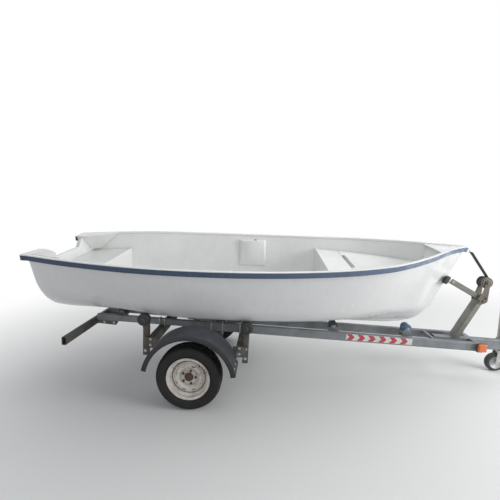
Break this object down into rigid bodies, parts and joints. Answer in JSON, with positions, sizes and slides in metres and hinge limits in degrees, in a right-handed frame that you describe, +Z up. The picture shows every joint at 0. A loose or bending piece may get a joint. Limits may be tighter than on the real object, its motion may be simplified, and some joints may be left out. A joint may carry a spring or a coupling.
{
  "type": "sailing dinghy on road trailer",
  "caption": "Open fibreglass dinghy resting on a single-axle road trailer, with spinning road wheels and a winding, swivelling jockey wheel.",
  "frame": {"origin": "on the floor under the middle of the whole outfit", "axes": "+X to the bow and the towing coupling, +Y to port, +Z up"},
  "size_m": [4.9298, 1.5, 1.3814],
  "materials": {
    "gelcoat_white": "weathered gloss gelcoat",
    "gelcoat_inside": "satin moulded gelcoat, scuffed",
    "strake_blue": "worn painted rubbing strake",
    "pad_grey": "matt",
    "galvanised": "dull galvanised steel with grime",
    "guard_black": "dusty black",
    "wheel_white": "white paint with rust",
    "tyre_rubber": "worn rubber",
    "roller_rubber": "matt rubber",
    "bright_steel": "zinc plated",
    "strap_web": "woven webbing",
    "lamp_amber": "amber lens"
  },
  "bodies": {
    "outfit": {"axle_beam": "galvanised", "axle_brackets": "galvanised", "bow_bulkhead": "gelcoat_inside", "bow_eye": "bright_steel", "bow_seat": "gelcoat_inside", "cockpit_sole": "gelcoat_inside", "coupling_head": "galvanised", "coupling_lever": "bright_steel", "cross_ties": "galvanised", "drawbar": "galvanised", "foredeck": "gelcoat_white", "forward_thwart": "gelcoat_inside", "front_crossbar": "galvanised", "gunwale_cap": "gelcoat_white", "hull_shell": "gelcoat_white", "jockey_clamp": "galvanised", "jockey_sleeve": "galvanised", "keel_band": "gelcoat_white", "keel_roller_brackets": "galvanised", "keel_rollers": "roller_rubber", "marker_lamps": "lamp_amber", "motor_pad": "pad_grey", "mudguard_port": "guard_black", "mudguard_starboard": "guard_black", "quarter_knees": "gelcoat_inside", "rail_port": "galvanised", "rail_starboard": "galvanised", "rear_crossbar": "galvanised", "roller_posts_port": "galvanised", "roller_posts_starboard": "galvanised", "rowlock_pads": "gelcoat_inside", "rubbing_strake": "strake_blue", "side_beams": "galvanised", "side_rollers_port": "roller_rubber", "side_rollers_starboard": "roller_rubber", "snubber": "roller_rubber", "snubber_arm": "galvanised", "stern_bench": "gelcoat_inside", "trailing_arm_port": "galvanised", "trailing_arm_starboard": "galvanised", "transom": "gelcoat_inside", "winch_drum": "bright_steel", "winch_frame": "galvanised", "winch_post": "galvanised", "winch_strap": "strap_web"},
    "wheel_port": {"hub_port": "galvanised", "rim_port": "wheel_white", "tyre_port": "tyre_rubber"},
    "wheel_starboard": {"hub_starboard": "galvanised", "rim_starboard": "wheel_white", "tyre_starboard": "tyre_rubber"},
    "jockey_leg": {"jockey_leg": "bright_steel"},
    "jockey_fork": {"jockey_fork": "galvanised"},
    "jockey_wheel": {"jockey_rim": "bright_steel", "jockey_tyre": "roller_rubber"},
    "jockey_crank": {"jockey_crank": "bright_steel"}
  },
  "joints": [
    {"name": "wheel_port_spin", "type": "hinge", "parent": "outfit", "child": "wheel_port", "pos_m": [-0.96, 0.6425, 0.2735], "axis": [0, 1, 0], "continuous": true},
    {"name": "wheel_starboard_spin", "type": "hinge", "parent": "outfit", "child": "wheel_starboard", "pos_m": [-0.96, -0.6425, 0.2735], "axis": [0, 1, 0], "continuous": true},
    {"name": "jockey_slide", "type": "slide", "parent": "outfit", "child": "jockey_leg", "axis": [0, 0, 1], "range_m": [-0.2, 0.03]},
    {"name": "jockey_swivel", "type": "hinge", "parent": "jockey_leg", "child": "jockey_fork", "pos_m": [2.05, 0.08, 0.222], "axis": [0, 0, 1], "continuous": true},
    {"name": "jockey_spin", "type": "hinge", "parent": "jockey_fork", "child": "jockey_wheel", "pos_m": [2.02, 0.08, 0.095], "axis": [0, 1, 0], "continuous": true},
    {"name": "jockey_crank_turn", "type": "hinge", "parent": "outfit", "child": "jockey_crank", "pos_m": [2.05, 0.08, 0.68], "axis": [0, 0, 1], "continuous": true}
  ]
}
